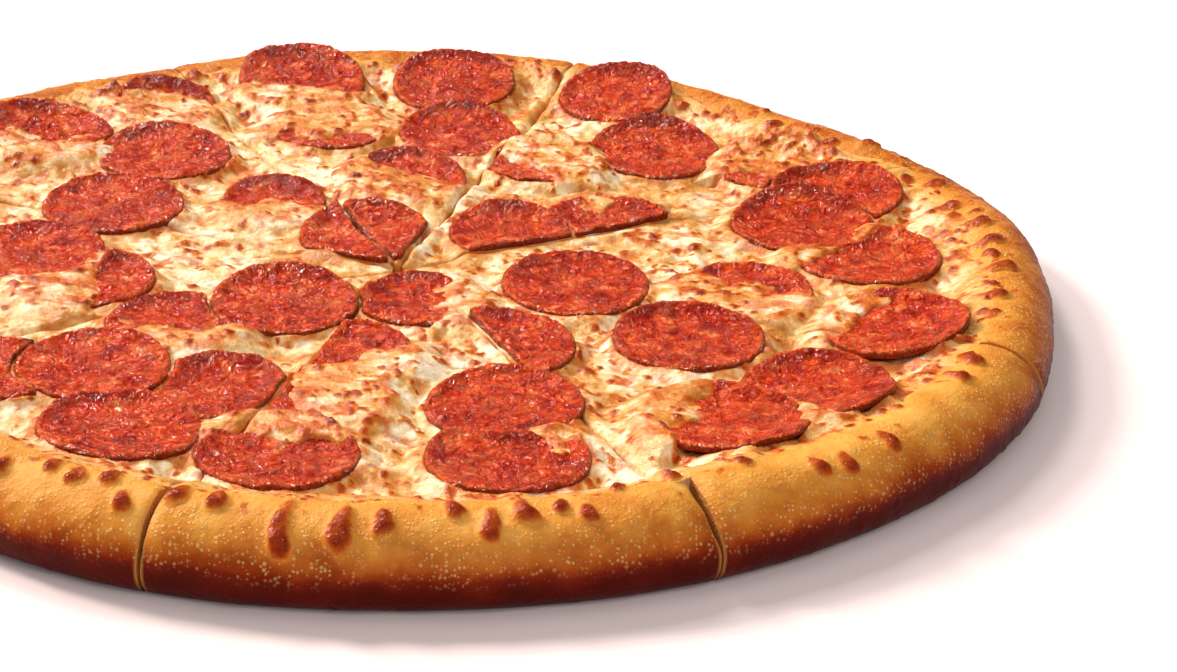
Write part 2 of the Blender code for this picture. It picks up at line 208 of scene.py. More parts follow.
def hills(x, y, size, seed):
    """Rough ground with hills about size millimetres apart, between about -1 and 1."""
    table = np.random.RandomState(seed).uniform(0.0, 2.0 * np.pi, (256, 256))
    gx, gy = x / size, y / size
    ix, iy = np.floor(gx).astype(int), np.floor(gy).astype(int)
    fx, fy = gx - ix, gy - iy
    sx = fx ** 3 * (fx * (fx * 6 - 15) + 10)
    sy = fy ** 3 * (fy * (fy * 6 - 15) + 10)
    corner = {}
    for a in (0, 1):
        for b in (0, 1):
            angle = table[(ix + a) % 256, (iy + b) % 256]
            corner[a, b] = np.cos(angle) * (fx - a) + np.sin(angle) * (fy - b)
    near = mix(corner[0, 0], corner[1, 0], sx)
    far = mix(corner[0, 1], corner[1, 1], sx)
    return 1.5 * mix(near, far, sy)


def bubbles(x, y, spacing, seed):
    """For each point, the distance to the nearest seeded bubble, and that bubble's own number."""
    table = np.random.RandomState(seed).uniform(0.0, 1.0, (256, 256, 3))
    gx, gy = x / spacing, y / spacing
    ix, iy = np.floor(gx).astype(int), np.floor(gy).astype(int)
    nearest = np.full(x.shape, 9.0)
    number = np.zeros(x.shape)
    for a in (-1, 0, 1):
        for b in (-1, 0, 1):
            own = table[(ix + a) % 256, (iy + b) % 256]
            away = np.hypot(gx - ix - a - own[..., 0], gy - iy - b - own[..., 1])
            closer = away < nearest
            nearest = np.where(closer, away, nearest)
            number = np.where(closer, own[..., 2], number)
    return nearest * spacing, number


def build_piece(name, points, faces, material, marks=None, smooth_below=None):
    """A mesh object from points in millimetres, with marks stored at its points for shaders."""
    mesh = bpy.data.meshes.new(name)
    mesh.from_pydata((np.asarray(points) * MM).tolist(), [], faces)
    mesh.validate()
    mesh.shade_smooth()
    if smooth_below is not None:
        mesh.set_sharp_from_angle(angle=math.radians(smooth_below))
    for mark, values in (marks or {}).items():
        layer = mesh.attributes.new(mark, "FLOAT", "POINT")
        layer.data.foreach_set("value", np.asarray(values, np.float32))
    mesh.materials.append(material)
    piece = bpy.data.objects.new(name, mesh)
    bpy.context.scene.collection.objects.link(piece)
    return piece


sample = hills(np.linspace(0, 300, 999), np.zeros(999), 8.0, 1)
print("hills run from", round(float(sample.min()), 2), "to", round(float(sample.max()), 2))

# %% [markdown]
# ## Baked crust
# Wheat dough bakes to gold where the oven's heat is mild and to red-brown underneath, where it
# fries against the oiled pan. The gold has fine pale blisters, where steam lifted a skin of
# dough. The colour follows the height above the pan, pushed up and down by rough ground. The
# blisters are small cells, each with its own size. It has a thin film of oil, so it is satin.

# %% Material: baked wheat dough
baked_dough, tree, shader = new_material("baked wheat dough")
place = add_node(tree, "TexCoord").outputs["Object"]
bake = add_node(tree, "Attribute", attribute_name="bake").outputs["Fac"]
crumb = add_node(tree, "Attribute", attribute_name="crumb").outputs["Fac"]
toast = add_node(tree, "Attribute", attribute_name="toast").outputs["Fac"]
cloud = add_node(tree, "TexNoise", {"Vector": place, "Scale": 110.0, "Detail": 5.0, "Roughness": 0.6})
grain = add_node(tree, "TexNoise", {"Vector": place, "Scale": 900.0, "Detail": 3.0})
tone = centred(tree, cloud.outputs["Fac"], 0.55, bake)
gold = add_node(tree, "ValToRGB", {0: tone}, stops=(
    (0.0, linear("#EDB055")), (0.2, linear("#DB8F36")), (0.36, linear("#C26A20")),
    (0.52, linear("#9A3F0E")), (0.7, linear("#761C04")), (0.86, linear("#5A0F01")), (1.0, linear("#4C0A00"))))
# Blisters 0.4 to 1.6 mm across, in two sizes of cells
blister = None
for scale, share in ((1000.0, 0.56), (680.0, 0.44)):
    cells = add_node(tree, "TexVoronoi", {"Vector": place, "Scale": scale, "Randomness": 1.0})
    size = add_node(tree, "SeparateColor", {0: cells.outputs["Color"]})
    size = add_node(tree, "Math", {0: size.outputs[0], 1: share}, operation="MULTIPLY")
    dot = add_node(tree, "Math", {0: size.outputs[0], 1: cells.outputs["Distance"]}, operation="SUBTRACT")
    dot = add_node(tree, "MapRange", {"Value": dot.outputs[0], "From Min": 0.0, "From Max": 0.24})
    blister = dot if blister is None else add_node(
        tree, "Math", {0: dot.outputs[0], 1: blister.outputs[0]}, operation="MAXIMUM")
patch = add_node(tree, "TexNoise", {"Vector": place, "Scale": 70.0, "Detail": 3.0})
patch = add_node(tree, "MapRange", {"Value": patch.outputs["Fac"], "From Min": 0.3, "From Max": 0.48})
begin = add_node(tree, "MapRange", {"Value": bake, "From Min": 0.12, "From Max": 0.22})
end = add_node(tree, "MapRange", {"Value": bake, "From Min": 0.9, "From Max": 0.5})
for share in (begin, end, patch):
    blister = add_node(tree, "Math", {0: blister.outputs[0], 1: share.outputs[0]}, operation="MULTIPLY")
pale = add_node(tree, "Mix", {0: 0.45, 6: gold.outputs[0], 7: linear("#FFD080")}, data_type="RGBA")
skin = add_node(tree, "Mix", {0: blister.outputs[0], 6: gold.outputs[0], 7: pale.outputs[2]},
                data_type="RGBA")
inside = add_node(tree, "Mix", {0: crumb, 6: skin.outputs[2], 7: linear("#CC8A44")}, data_type="RGBA")
burnt = add_node(tree, "ValToRGB", {0: centred(tree, grain.outputs["Fac"], 0.5, toast)}, stops=(
    (0.0, linear("#E2A044")), (0.35, linear("#D07A2A")), (0.65, linear("#B44E18")), (1.0, linear("#8A2C0C"))))
burnt_share = add_node(tree, "MapRange", {"Value": toast, "From Min": 0.05, "From Max": 0.5})
crusty = add_node(tree, "Mix", {0: burnt_share.outputs[0], 6: inside.outputs[2], 7: burnt.outputs[0]},
                  data_type="RGBA")
tree.links.new(crusty.outputs[2], shader.inputs["Base Color"])
bulge = add_node(tree, "Math", {0: blister.outputs[0], 1: 0.45}, operation="MULTIPLY")
relief = centred(tree, grain.outputs["Fac"], 0.5, bulge.outputs[0])
bump = add_node(tree, "Bump", {"Height": relief, "Strength": 0.9, "Distance": 0.0006})
tree.links.new(bump.outputs[0], shader.inputs["Normal"])
gloss = add_node(tree, "MapRange", {"Value": toast, "To Min": 0.42, "To Max": 0.14})
tree.links.new(gloss.outputs[0], shader.inputs["Roughness"])
shader.inputs["IOR"].default_value = 1.45
shader.inputs["Specular IOR Level"].default_value = 0.08
shader.inputs["Subsurface Weight"].default_value = 0.08
shader.inputs["Subsurface Radius"].default_value = (1.0, 0.5, 0.25)
shader.inputs["Subsurface Scale"].default_value = 0.002
print("dough material:", len(tree.nodes), "nodes")

# %% [markdown]
# ## Melted cheese
# Mozzarella melts to a cream sheet with a moist shine. Where bubbles rose they browned, from
# tan to a dark red-brown. Round the sausage the fat has run out of it and dyed the cheese
# orange. The mesh carries three marks that the shader reads: how browned, how oily, and how
# near the sauce each point is. The oily and sauce marks also paint an orange-red shade into the
# creases between the lumps. Light goes a few millimetres into it, which softens it.

# %% Material: melted mozzarella
melted_cheese, tree, shader = new_material("melted mozzarella")
place = add_node(tree, "TexCoord").outputs["Object"]
browned = add_node(tree, "Attribute", attribute_name="browned").outputs["Fac"]
oily = add_node(tree, "Attribute", attribute_name="oily").outputs["Fac"]
sauce_and_shade = add_node(tree, "Attribute", attribute_name="sauce_and_shade").outputs["Fac"]
golden = add_node(tree, "Attribute", attribute_name="golden").outputs["Fac"]
cloud = add_node(tree, "TexNoise", {"Vector": place, "Scale": 130.0, "Detail": 6.0, "Roughness": 0.62})
fine = add_node(tree, "TexNoise", {"Vector": place, "Scale": 480.0, "Detail": 4.0, "Roughness": 0.6})
patches = add_node(tree, "TexNoise", {"Vector": place, "Scale": 42.0, "Detail": 2.0, "Roughness": 0.5})
cream_tone = centred(tree, patches.outputs["Fac"], 0.55, cloud.outputs["Fac"])
cream = add_node(tree, "ValToRGB", {0: cream_tone}, stops=(
    (0.36, linear("#C47A34")), (0.44, linear("#DDA25A")), (0.52, linear("#EEC68A")),
    (0.63, linear("#FBE8C6"))))
gilt_share = add_node(tree, "MapRange", {"Value": centred(tree, cloud.outputs["Fac"], 1.4, golden),
                                         "From Min": 0.1, "From Max": 0.9})
gilt = add_node(tree, "Mix", {0: gilt_share.outputs[0], 6: cream.outputs[0], 7: linear("#E0A652")},
                data_type="RGBA")
# Orange of the oil, which also carries painted shade in the creases between the lumps
oil_and_shade_share = add_node(tree, "MapRange", {"Value": centred(tree, fine.outputs["Fac"], 1.2, oily),
                                        "From Min": 0.1, "From Max": 0.9})
oiled_and_shaded = add_node(tree, "Mix", {0: oil_and_shade_share.outputs[0], 6: gilt.outputs[2], 7: linear("#DC7E26")},
                 data_type="RGBA")
brown_share = centred(tree, fine.outputs["Fac"], 0.8, browned)
toast = add_node(tree, "ValToRGB", {0: brown_share}, stops=(
    (0.0, linear("#EAB05A")), (0.3, linear("#D98434")), (0.5, linear("#C65C1A")),
    (0.75, linear("#A43A0A")), (1.0, linear("#822404"))))
toast_mask = add_node(tree, "MapRange", {"Value": brown_share, "From Min": 0.05, "From Max": 0.3})
toasted = add_node(tree, "Mix", {0: toast_mask.outputs[0], 6: oiled_and_shaded.outputs[2], 7: toast.outputs[0]},
                   data_type="RGBA")
# Red of the sauce, which through the oil mark also deepens the painted shade in the creases
sauced_and_shaded = add_node(tree, "Mix", {0: sauce_and_shade, 6: toasted.outputs[2], 7: linear("#C8561A")}, data_type="RGBA")
tree.links.new(sauced_and_shaded.outputs[2], shader.inputs["Base Color"])
gloss = add_node(tree, "MapRange", {"Value": cloud.outputs["Fac"], "From Min": 0.3, "From Max": 0.7,
                                    "To Min": 0.16, "To Max": 0.36})
tree.links.new(gloss.outputs[0], shader.inputs["Roughness"])
bump = add_node(tree, "Bump", {"Height": fine.outputs["Fac"], "Strength": 0.7, "Distance": 0.001})
tree.links.new(bump.outputs[0], shader.inputs["Normal"])
shader.inputs["IOR"].default_value = 1.45
shader.inputs["Specular IOR Level"].default_value = 0.3
shader.inputs["Specular Tint"].default_value = linear("#FFF0E0")
shader.inputs["Subsurface Weight"].default_value = 0.15
shader.inputs["Subsurface Radius"].default_value = (1.0, 0.6, 0.3)
shader.inputs["Subsurface Scale"].default_value = 0.0025
print("cheese material:", len(tree.nodes), "nodes")

# %% [markdown]
# ## Cured sausage
# Pepperoni is ground pork with paprika: a deep red mass with flecks of paler fat half a
# millimetre to two across. In the oven the fat melts and wets the whole slice, which then
# shines, and the thin edge lets light through and turns orange. The mesh marks its edge, where
# a darker red along the outline and down the side is painted shade under the slice, and the
# parts that are dark: some dried dark, others painted shade in the creases, on the raised far
# edge and on the back wall of the cup.

# %% Material: cured sausage
cured_sausage, tree, shader = new_material("cured pork sausage")
place = add_node(tree, "TexCoord").outputs["Object"]
edge = add_node(tree, "Attribute", attribute_name="edge").outputs["Fac"]
dark = add_node(tree, "Attribute", attribute_name="dark").outputs["Fac"]
meat = add_node(tree, "TexNoise", {"Vector": place, "Scale": 170.0, "Detail": 7.0, "Roughness": 0.72,
                                   "Distortion": 0.6})
red = add_node(tree, "ValToRGB", {0: meat.outputs["Fac"]}, stops=(
    (0.36, linear("#8E1004")), (0.43, linear("#B42006")), (0.51, linear("#D8380D")),
    (0.59, linear("#EC5A20")), (0.68, linear("#FA9A62"))))
streaks = add_node(tree, "TexNoise", {"Vector": place, "Scale": 380.0, "Detail": 3.0, "Roughness": 0.6,
                                      "Distortion": 1.2})
folded = add_node(tree, "Math", {0: streaks.outputs["Fac"], 1: 0.5}, operation="SUBTRACT")
folded = add_node(tree, "Math", {0: folded.outputs[0]}, operation="ABSOLUTE")
streak = add_node(tree, "MapRange", {"Value": folded.outputs[0], "From Min": 0.04, "From Max": 0.0})
streak_patch = add_node(tree, "TexNoise", {"Vector": place, "Scale": 150.0, "Detail": 3.0})
streak_patch = add_node(tree, "MapRange", {"Value": streak_patch.outputs["Fac"], "From Min": 0.42,
                                           "From Max": 0.6, "To Max": 0.6})
fleck = add_node(tree, "Math", {0: streak.outputs[0], 1: streak_patch.outputs[0]}, operation="MULTIPLY")
marbled = add_node(tree, "Mix", {0: fleck.outputs[0], 6: red.outputs[0], 7: linear("#F29A64")},
                   data_type="RGBA")
ring_share = add_node(tree, "MapRange", {"Value": centred(tree, meat.outputs["Fac"], 1.2, edge),
                                         "From Min": 0.3, "From Max": 0.8, "To Max": 0.7})
ringed = add_node(tree, "Mix", {0: ring_share.outputs[0], 6: marbled.outputs[2], 7: linear("#E25C1E")},
                  data_type="RGBA")
# A darker red on the outermost edge and over the side and underside: painted shade under the slice's edge
rim_shade_share = add_node(tree, "MapRange", {"Value": edge, "From Min": 0.88, "From Max": 0.99, "To Max": 0.85})
rim_shaded = add_node(tree, "Mix", {0: rim_shade_share.outputs[0], 6: ringed.outputs[2], 7: linear("#7C1604")},
                 data_type="RGBA")
# Dark patches: some dried dark, others painted shade in creases, on the raised far edge and on the cup's back wall
dark_share = add_node(tree, "MapRange", {"Value": centred(tree, meat.outputs["Fac"], 1.0, dark),
                                         "From Min": 0.12, "From Max": 0.7, "To Max": 0.78})
dried_and_shaded = add_node(tree, "Mix", {0: dark_share.outputs[0], 6: rim_shaded.outputs[2], 7: linear("#941004")},
                 data_type="RGBA")
tree.links.new(dried_and_shaded.outputs[2], shader.inputs["Base Color"])
gloss = add_node(tree, "MapRange", {"Value": meat.outputs["Fac"], "From Min": 0.3, "From Max": 0.7,
                                    "To Min": 0.06, "To Max": 0.16})
tree.links.new(gloss.outputs[0], shader.inputs["Roughness"])
wrinkle = add_node(tree, "TexNoise", {"Vector": place, "Scale": 340.0, "Detail": 2.0, "Roughness": 0.45,
                                      "Distortion": 1.2})
relief = centred(tree, streak.outputs[0], 0.12, wrinkle.outputs["Fac"])
bump = add_node(tree, "Bump", {"Height": relief, "Strength": 1.0, "Distance": 0.0028})
tree.links.new(bump.outputs[0], shader.inputs["Normal"])
shader.inputs["IOR"].default_value = 1.46
shader.inputs["Specular IOR Level"].default_value = 0.42
shader.inputs["Specular Tint"].default_value = linear("#FFC8A0")
shader.inputs["Subsurface Weight"].default_value = 0.06
shader.inputs["Subsurface Radius"].default_value = (1.0, 0.25, 0.1)
shader.inputs["Subsurface Scale"].default_value = 0.002
print("sausage material:", len(tree.nodes), "nodes")

# %% [markdown]
# ## Reading the solids
# A slice of pepperoni lies where its solid lies. From the solid's upward faces come its outline
# and a smooth curved surface through its top, so the fine mesh follows the solid but not its
# flat facets.


# %% Measure a solid of the frame
def solid(name):
    """A node's corner points in millimetres, welded, and its triangles."""
    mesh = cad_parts[name].data
    points = np.empty(len(mesh.vertices) * 3)
    mesh.vertices.foreach_get("co", points)
    mesh.calc_loop_triangles()
    corners = np.empty(len(mesh.loop_triangles) * 3, int)
    mesh.loop_triangles.foreach_get("vertices", corners)
    points = points.reshape(-1, 3) / MM
    _, first, same = np.unique(np.round(points, 3), axis=0, return_index=True, return_inverse=True)
    return points[first], same.reshape(-1)[corners].reshape(-1, 3)


def outlines(points, triangles):
    """Closed outlines, seen from above, of the faces that look up."""
    a, b, c = (points[triangles[:, i]] for i in range(3))
    normal = np.cross(b - a, c - a)
    up = normal[:, 2] > 0.35 * np.linalg.norm(normal, axis=1)
    onward = {}
    edges = {(t[i], t[(i + 1) % 3]) for t in triangles[up] for i in range(3)}
    for start, end in edges:
        if (end, start) not in edges:
            onward[start] = end
    loops = []
    while onward:
        start, end = onward.popitem()
        loop = [start]
        while end in onward:
            loop.append(end)
            end = onward.pop(end)
        if len(loop) > 2:
            loops.append(points[loop][:, :2])
    return loops


def rounded(loop, step):
    """The outline with its corners cut twice, and a point at about every step millimetres."""
    for _ in range(2):
        after = np.roll(loop, -1, axis=0)
        loop = np.stack([0.75 * loop + 0.25 * after, 0.25 * loop + 0.75 * after], 1).reshape(-1, 2)
    lengths = np.linalg.norm(np.roll(loop, -1, axis=0) - loop, axis=1)
    along = np.concatenate([[0.0], np.cumsum(lengths)])
    count = max(8, int(along[-1] / step))
    places = np.linspace(0.0, along[-1], count, endpoint=False)
    closed = np.vstack([loop, loop[:1]])
    return np.stack([np.interp(places, along, closed[:, i]) for i in range(2)], 1)


def to_outline(x, y, loops):
    """Distance to the nearest outline, negative inside, and the nearest point on it."""
    best = np.full(x.shape, np.inf)
    near_x, near_y = x.copy(), y.copy()
    inside = np.zeros(x.shape, bool)
    for loop in loops:
        after = np.roll(loop, -1, axis=0)
        for (ax, ay), (bx, by) in zip(loop, after):
            dx, dy = bx - ax, by - ay
            share = np.clip(((x - ax) * dx + (y - ay) * dy) / (dx * dx + dy * dy + 1e-12), 0.0, 1.0)
            px, py = ax + share * dx, ay + share * dy
            away = np.hypot(x - px, y - py)
            closer = away < best
            best = np.where(closer, away, best)
            near_x, near_y = np.where(closer, px, near_x), np.where(closer, py, near_y)
            crosses = (ay > y) != (by > y)
            with np.errstate(divide="ignore", invalid="ignore"):
                left = x < (bx - ax) * (y - ay) / (by - ay) + ax
            inside ^= crosses & left
    return np.where(inside, -best, best), near_x, near_y


def powers(u, v):
    return np.stack([u ** i * v ** j for i in range(5) for j in range(5 - i)], -1)


class Disc:
    """One slice of pepperoni, as its solid has it."""

    def __init__(self, name):
        self.name = name
        points, triangles = solid(name)
        self.loops = outlines(points, triangles)
        everything = np.vstack(self.loops)
        self.low, self.high = everything.min(0), everything.max(0)
        self.centre = (self.low + self.high) / 2
        self.reach = float((self.high - self.low).max() / 2)
        tree = BVHTree.FromPolygons(points.tolist(), triangles.tolist())
        gx, gy = np.meshgrid(*(np.arange(self.low[i], self.high[i], 1.7) for i in range(2)))
        places, tops = [], []
        for x, y in zip(gx.ravel(), gy.ravel()):
            hit = tree.ray_cast(Vector((x, y, 100.0)), Vector((0.0, 0.0, -1.0)))[0]
            if hit is not None:
                places.append((x, y))
                tops.append(hit.z)
        places, tops = np.array(places), np.array(tops)
        table = powers(*((places - self.centre) / self.reach).T)
        steady = 0.02 * np.eye(table.shape[1])
        self.level = tops.mean()
        self.form = np.linalg.lstsq(np.vstack([table, steady]),
                                    np.concatenate([tops - self.level, np.zeros(len(steady))]), rcond=None)[0]
        self.misfit = float(np.abs(table @ self.form + self.level - tops).max())

    def top(self, x, y):
        u, v = (x - self.centre[0]) / self.reach, (y - self.centre[1]) / self.reach
        return powers(u, v) @ self.form + self.level


discs = [Disc(name) for name in sorted(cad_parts) if name.startswith("pepperoni")]
print(len(discs), "discs; the smooth tops stay within",
      round(max(d.misfit for d in discs), 2), "mm of the solids")

# %% [markdown]
# ## The form of the crust
# The rim is one section turned about the pizza: a flat floor, a rounded slope, an elliptic brow
# and belly. The sizes are the solid's own, so the fine crust lies on it. Slow waves make the
# rim's height and breadth change round the pizza, as uneven rolling and baking do.

# %% Form of the crust
CRUST_RADIUS = 178.0
CREST_RADIUS = 164.5
CREST_HEIGHT = 19.4
FOOT_RADIUS = 141.0
DOUGH_THICKNESS = 8.0
WIDEST_HEIGHT = 8.0
BASE_RADIUS = 171.0
CREST_SHIFT_BACK = 2.5
CREST_DROP_BACK = 1.4
CREST_WAVE_HEIGHT = 0.5
OUTLINE_WAVES = ((2, 1.44, -1.93), (3, 0.61, 3.05), (4, 1.41, 1.68), (5, 0.58, 0.98), (6, 1.48, -0.09),
                 (8, 0.90, -0.93))


def rim_move(even, angle):
    """How far the baked rim has moved out from the even section, for its upper side."""
    bulge = sum(size * np.sin(count * angle + phase) for count, size, phase in OUTLINE_WAVES)
    inner = (even - FOOT_RADIUS) / (CREST_RADIUS - FOOT_RADIUS)
    outer = (CRUST_RADIUS - even) / (CRUST_RADIUS - CREST_RADIUS)
    back = CREST_SHIFT_BACK * np.sin(angle) * np.clip(np.minimum(inner, outer), 0.0, 1.0)
    return bulge * smooth(FOOT_RADIUS, CREST_RADIUS, even), back


def crest_height(angle):
    wave = CREST_WAVE_HEIGHT * wave_sum(9, (3, 7, 11, 15), angle)
    return CREST_HEIGHT - CREST_DROP_BACK * np.sin(angle) + wave


def even_radius(r, angle):
    """Radius in the even section of a point of the baked rim."""
    even = r
    for _ in range(7):
        even = r - sum(rim_move(even, angle))
    return even


def crust_top(x, y):
    """Height of the top of the crust."""
    r, angle = np.hypot(x, y), np.arctan2(y, x)
    even = even_radius(r, angle)
    slope = np.clip((even - FOOT_RADIUS) / (CREST_RADIUS - FOOT_RADIUS), 0.0, 1.0)
    out = np.clip((even - CREST_RADIUS) / (CRUST_RADIUS - CREST_RADIUS), 0.0, 1.0)
    share = np.where(even > CREST_RADIUS, np.sqrt(1.0 - out ** 2), 0.5 - 0.5 * np.cos(np.pi * slope))
    return mix(WIDEST_HEIGHT, crest_height(angle), share)


for name in ("crust_1", "crust_3", "crust_6"):
    rim_points, _ = solid(name)
    far = np.hypot(rim_points[:, 0], rim_points[:, 1])
    on_top = (far < CREST_RADIUS - 5.0) & (rim_points[:, 2] > 7.9)
    gap = rim_points[on_top, 2] - crust_top(rim_points[on_top, 0], rim_points[on_top, 1])
    print(name, "and the fine crust differ by", round(float(np.abs(gap).max()), 2), "mm at most")

# %% [markdown]
# ## Knife cuts
# Four straight cuts cross in the middle and leave eight slices. Each slice lies between two
# walls. At the rim the dough has drawn back from the knife, so each cut opens there in a V.

# %% Knife cuts
CUTS = ((-23.0, 0.9), (26.0, 0.9), (71.5, 1.6), (114.5, 1.2))
RIM_NOTCHES = (1.6, 2.0, 3.6, 2.2, 2.0, 2.0, 3.0, 5.0)
NOTCH_TOP, NOTCH_BOTTOM = 20.0, 4.0
NOTCH_START = 150.0
SLICES = 8


class Cut:
    """One end of a knife cut: its bearing, its width and how far the rim opens there."""

    def __init__(self, number):
        lap, line = divmod((number - 1) % SLICES, len(CUTS))
        bearing, self.width = CUTS[line]
        turns = 360.0 * ((number - 1) // SLICES)
        self.bearing = math.radians(bearing + 180.0 * lap + turns)
        self.notch = RIM_NOTCHES[(number - 1) % SLICES]
        self.side = np.array([-math.sin(self.bearing), math.cos(self.bearing)])
        self.offset = float(CUT_CENTRE @ self.side)

    def gap(self, r, z):
        """Half of the gap's width at a radius and a height."""
        share = np.clip((z - NOTCH_BOTTOM) / (NOTCH_TOP - NOTCH_BOTTOM), 0.0, 1.2)
        return 0.28 * self.width + 0.1 * self.notch * share ** 2 * smooth(NOTCH_START, NOTCH_START + 8.0, r)

    def beside(self, x, y):
        """How far a point lies anticlockwise of the knife's line."""
        return x * self.side[0] + y * self.side[1] - self.offset


for number in (1, 8):
    print("slice", number, "starts at", round(math.degrees(Cut(number).bearing)), "degrees")

# %% [markdown]
# ## Beads of browned cheese
# Cheese that boiled over the edge of the sheet lies on the crust as beads, 5 to 8 mm across,
# each with a tail towards the cheese. Sugar and fat have browned them until they shine. The
# table gives the ones that stand out, others are drawn at random all round.

# %% Beads of browned cheese
BEADS = [
    (164, 244, 2.6, 3), (162.5, 247, 2.4, 4), (169, 249, 2.4, 2), (162, 241.5, 2.2, 4),
    (164, 253, 2.6, 4), (164, 256, 2.8, 3), (173, 261.5, 2.6, 13), (171, 266, 3.0, 9),
    (168, 269, 2.6, 4), (163, 274.5, 2.6, 3), (169.5, 277.2, 2.5, 7), (165, 280, 3.2, 3),
    (163.5, 283, 2.4, 2), (167, 285, 2.4, 2), (168.6, 305.4, 2.4, 3), (170, 308, 2.4, 3),
    (169, 313.4, 2.6, 4), (164, 328, 2.6, 5), (162, 348.5, 2.6, 6), (165, 356, 3.0, 6),
    (165, 3, 2.6, 6), (165, 8, 3.0, 5), (163, 14, 2.6, 6), (167, 20, 2.8, 4),
]
bead_draw = random.Random(88)
named = len(BEADS)
for k in range(110):
    bearing = 3.27 * k + bead_draw.uniform(-2.5, 2.5)
    taken = min(abs((bearing - b[1] + 180) % 360 - 180) for b in BEADS[:named])
    if taken > 2.4:
        BEADS.append((bead_draw.gauss(159.5, 3.6), bearing, bead_draw.uniform(0.9, 2.9),
                      bead_draw.uniform(0.3, 2.6)))


def beads_at(x, y):
    """Height of the beads at points, and how browned they are there."""
    height, toast = np.zeros(x.shape), np.zeros(x.shape)
    knobs, lobes = hills(x, y, 2.6, 89), hills(x, y, 3.6, 90)
    for distance, bearing, radius, tail in BEADS:
        out = np.array([math.cos(math.radians(bearing)), math.sin(math.radians(bearing))])
        px, py = CUT_CENTRE + distance * out
        u = (x - px) * out[0] + (y - py) * out[1]
        v = -(x - px) * out[1] + (y - py) * out[0]
        v = v + 0.5 * np.sin(u / 2.2 + bearing)
        length = np.where(u > 0, radius, radius + tail)
        away = np.hypot(u / length, v / (radius * np.where(u > 0, 1.0, 1.0 + 0.3 * u / length)))
        away = away * (1.0 + 0.22 * lobes)
        rise = 0.65 * radius * np.sqrt(np.clip(1.0 - away ** 2, 0.0, 1.0))
        rise = rise * np.where(u > 0, 1.0, 1.0 + 0.5 * u / length) * (1.0 + 0.35 * knobs)
        height = np.maximum(height, rise)
        tint = (1.0 - smooth(0.45, 1.35, away)) * np.where(u > 0, 1.0, 1.0 + 0.55 * u / length)
        toast = np.maximum(toast, tint * (1.0 + 0.3 * knobs))
    return height, toast


print(len(BEADS), "beads")

# %% [markdown]
# ## Crust slices
# Each slice of crust is a sheet of small faces wrapped round its section, from the middle of
# the floor over the rim and back underneath, closed at both knife walls. Its top edges are
# rounded where the knife pressed on them.


# %% Crust slices
def crust_section(step):
    """Points round the rim's section, as radius, height and how much of the rim they share."""
    points = [(r, DOUGH_THICKNESS) for r in (3.0, 12.0, 30.0, 60.0, 90.0, 110.0, 125.0, 134.0)]
    slope = np.arange(0.0, 1.0, step / 26.0)
    for s in slope:
        rise = 0.5 - 0.5 * math.cos(math.pi * s)
        points.append((mix(FOOT_RADIUS, CREST_RADIUS, s), mix(DOUGH_THICKNESS, CREST_HEIGHT, rise)))
    for s in np.arange(0.0, 1.0, step / 22.0):
        a = 0.5 * math.pi * s
        points.append((CREST_RADIUS + (CRUST_RADIUS - CREST_RADIUS) * math.sin(a),
                       WIDEST_HEIGHT + (CREST_HEIGHT - WIDEST_HEIGHT) * math.cos(a)))
    for s in np.arange(0.0, 1.001, step / 12.0):
        a = 0.5 * math.pi * s
        points.append((BASE_RADIUS + (CRUST_RADIUS - BASE_RADIUS) * math.cos(a),
                       WIDEST_HEIGHT * (1.0 - math.sin(a))))
    points += [(r, 0.0) for r in (160.0, 130.0, 90.0, 45.0, 12.0, 3.0)]
    return np.array(points)


